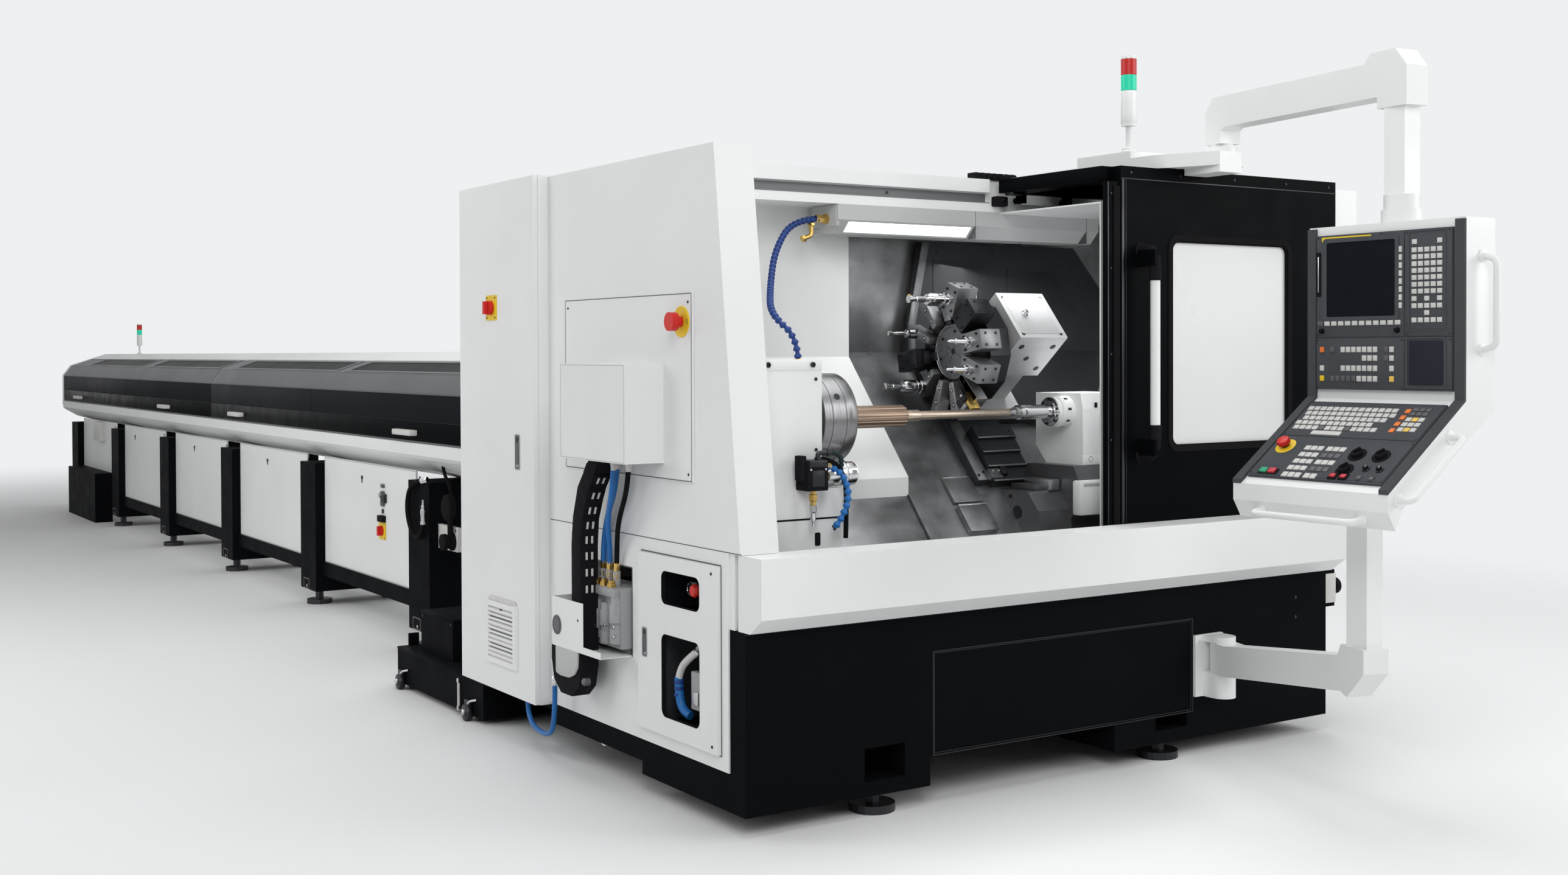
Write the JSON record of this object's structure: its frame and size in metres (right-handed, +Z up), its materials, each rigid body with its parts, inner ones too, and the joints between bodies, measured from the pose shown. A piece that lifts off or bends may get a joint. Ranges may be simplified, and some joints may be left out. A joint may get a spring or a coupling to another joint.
{
  "type": "cnc turning lathe",
  "caption": "Slant-bed turning lathe with sliding door, turret, tailstock, swinging control pendant, electrical cabinet and a long bar magazine behind its end wall.",
  "frame": {"origin": "middle of the underside of the front left levelling foot", "axes": "+X along the spindle towards the tailstock, +Y to the back along the bar magazine, +Z up"},
  "size_m": [3.289, 15.239, 2.706],
  "materials": {
    "white_paint": "smooth semi-gloss powder coat",
    "dark_paint": "fine textured powder coat",
    "steel_sheet": "brushed sheet",
    "ground_steel": "ground",
    "hard_chrome": "polished",
    "casting": "painted casting",
    "turned_bronze": "freshly turned",
    "tool_brass": "milled",
    "aluminium": "anodised",
    "black_plastic": "matt",
    "grey_plastic": "matt",
    "dark_screen": "gloss",
    "red_plastic": "gloss",
    "signal_plastic": "translucent gloss",
    "white_lens": "frosted",
    "frosted_pane": "frosted polycarbonate",
    "blue_hose": "matt",
    "grey_hose": "matt"
  },
  "bodies": {
    "machine": {"base_frame": "dark_paint", "base_front_cover": "dark_paint", "levelling_feet": "ground_steel", "front_sill": "white_paint", "end_wall": "white_paint", "access_panel": "white_paint", "cover_box": "white_paint", "rear_enclosure": "white_paint", "right_enclosure": "white_paint", "lamp_housing": "white_paint", "lamp_lens": "white_lens", "slant_bed": "casting", "bed_cover": "white_paint", "way_cover": "steel_sheet", "headstock": "white_paint", "roof_plinth": "white_paint", "signal_towers": "white_paint", "signal_lenses": "signal_plastic", "arm_bracket": "white_paint", "cabinet_shell": "white_paint", "service_tray": "white_paint", "valve_block": "aluminium", "drag_chain": "black_plastic", "service_hoses": "blue_hose", "coolant_hoses": "grey_hose", "magazine_frame": "dark_paint", "magazine_body": "white_paint", "magazine_skirts": "white_paint", "coolant_tank": "dark_paint"},
    "spindle": {"chuck_body": "ground_steel", "work_bar": "turned_bronze"},
    "jaw_1": {"chuck_jaw_1": "ground_steel"},
    "jaw_2": {"chuck_jaw_2": "ground_steel"},
    "jaw_3": {"chuck_jaw_3": "ground_steel"},
    "door": {"door_shell": "dark_paint", "door_pane": "frosted_pane", "door_grip": "white_paint"},
    "carriage": {"saddle": "steel_sheet"},
    "cross_slide": {"turret_housing": "ground_steel"},
    "turret": {"turret_disc": "ground_steel", "tool_holders": "ground_steel", "cutting_tool": "tool_brass"},
    "tailstock": {"tailstock_head": "white_paint", "tailstock_base": "casting"},
    "quill": {"quill": "hard_chrome"},
    "live_centre": {"live_centre": "ground_steel"},
    "pendant": {"swing_arms": "white_paint", "pendant_housing": "white_paint", "pendant_bumpers": "grey_plastic", "screen_unit": "dark_screen", "key_panel": "grey_plastic", "pendant_handles": "white_paint"},
    "pendant_stop": {"pendant_stop": "red_plastic"},
    "wall_stop": {"wall_stop": "red_plastic"},
    "cabinet_door": {"cabinet_door": "white_paint"},
    "main_switch": {"main_switch": "red_plastic"},
    "service_door": {"service_door": "white_paint"},
    "lid_1": {"magazine_lid_1": "dark_paint"},
    "lid_2": {"magazine_lid_2": "dark_paint"},
    "magazine_switch": {"magazine_switch": "red_plastic"}
  },
  "joints": [
    {"name": "door_slide", "type": "slide", "parent": "machine", "child": "door", "axis": [1, 0, 0], "range_m": [-1.485, 0]},
    {"name": "spindle_turn", "type": "hinge", "parent": "machine", "child": "spindle", "pos_m": [0.15, 0.315, 1.317], "axis": [1, 0, 0], "continuous": true},
    {"name": "jaw_1_slide", "type": "slide", "parent": "spindle", "child": "jaw_1", "axis": [0, 0, 1], "range_m": [0, 0.012]},
    {"name": "jaw_2_slide", "type": "slide", "parent": "spindle", "child": "jaw_2", "axis": [0, -0.866, -0.5], "range_m": [0, 0.012]},
    {"name": "jaw_3_slide", "type": "slide", "parent": "spindle", "child": "jaw_3", "axis": [0, 0.866, -0.5], "range_m": [0, 0.012]},
    {"name": "carriage_slide", "type": "slide", "parent": "machine", "child": "carriage", "axis": [1, 0, 0], "range_m": [-0.18, 0]},
    {"name": "cross_slide", "type": "slide", "parent": "carriage", "child": "cross_slide", "axis": [0, 0.6481, 0.7615], "range_m": [0, 0.1]},
    {"name": "turret_turn", "type": "hinge", "parent": "cross_slide", "child": "turret", "pos_m": [0.84, 0.5159, 1.5531], "axis": [1, 0, 0], "continuous": true},
    {"name": "tailstock_slide", "type": "slide", "parent": "machine", "child": "tailstock", "axis": [1, 0, 0], "range_m": [0, 0.25]},
    {"name": "quill_slide", "type": "slide", "parent": "tailstock", "child": "quill", "axis": [1, 0, 0], "range_m": [0, 0.06]},
    {"name": "centre_turn", "type": "hinge", "parent": "quill", "child": "live_centre", "pos_m": [0.91, 0.315, 1.317], "axis": [1, 0, 0], "continuous": true},
    {"name": "pendant_swing", "type": "hinge", "parent": "machine", "child": "pendant", "pos_m": [1.555, -0.141, 1.4], "axis": [0, 0, 1], "range_deg": [-40, 75]},
    {"name": "pendant_stop_push", "type": "slide", "parent": "pendant", "child": "pendant_stop", "axis": [0.5863, 0, -0.8101], "range_m": [0, 0.006], "stiffness_N_per_m": 1500, "springref_m": -0.003},
    {"name": "wall_stop_push", "type": "slide", "parent": "machine", "child": "wall_stop", "axis": [1, 0, 0], "range_m": [0, 0.006], "stiffness_N_per_m": 1500, "springref_m": -0.001},
    {"name": "cabinet_door_hinge", "type": "hinge", "parent": "machine", "child": "cabinet_door", "pos_m": [-0.62, 2.093, 1.2], "axis": [0, 0, 1], "range_deg": [-105, 0]},
    {"name": "main_switch_turn", "type": "hinge", "parent": "cabinet_door", "child": "main_switch", "pos_m": [-0.63, 1.756, 1.736], "axis": [1, 0, 0], "range_deg": [0, 90]},
    {"name": "service_door_hinge", "type": "hinge", "parent": "machine", "child": "service_door", "pos_m": [-0.5725, 0.063, 0.55], "axis": [0, 0, 1], "range_deg": [0, 105]},
    {"name": "lid_1_hinge", "type": "hinge", "parent": "machine", "child": "lid_1", "pos_m": [0.232, 5.425, 1.56], "axis": [0, 1, 0], "range_deg": [0, 75]},
    {"name": "lid_2_hinge", "type": "hinge", "parent": "machine", "child": "lid_2", "pos_m": [0.232, 10.925, 1.56], "axis": [0, 1, 0], "range_deg": [0, 75]},
    {"name": "magazine_switch_turn", "type": "hinge", "parent": "machine", "child": "magazine_switch", "pos_m": [-0.11, 4.315, 0.59], "axis": [1, 0, 0], "range_deg": [0, 90]}
  ],
  "couplings": [
    {"joint": "jaw_2_slide", "follows": "jaw_1_slide", "ratio": 1},
    {"joint": "jaw_3_slide", "follows": "jaw_1_slide", "ratio": 1}
  ]
}
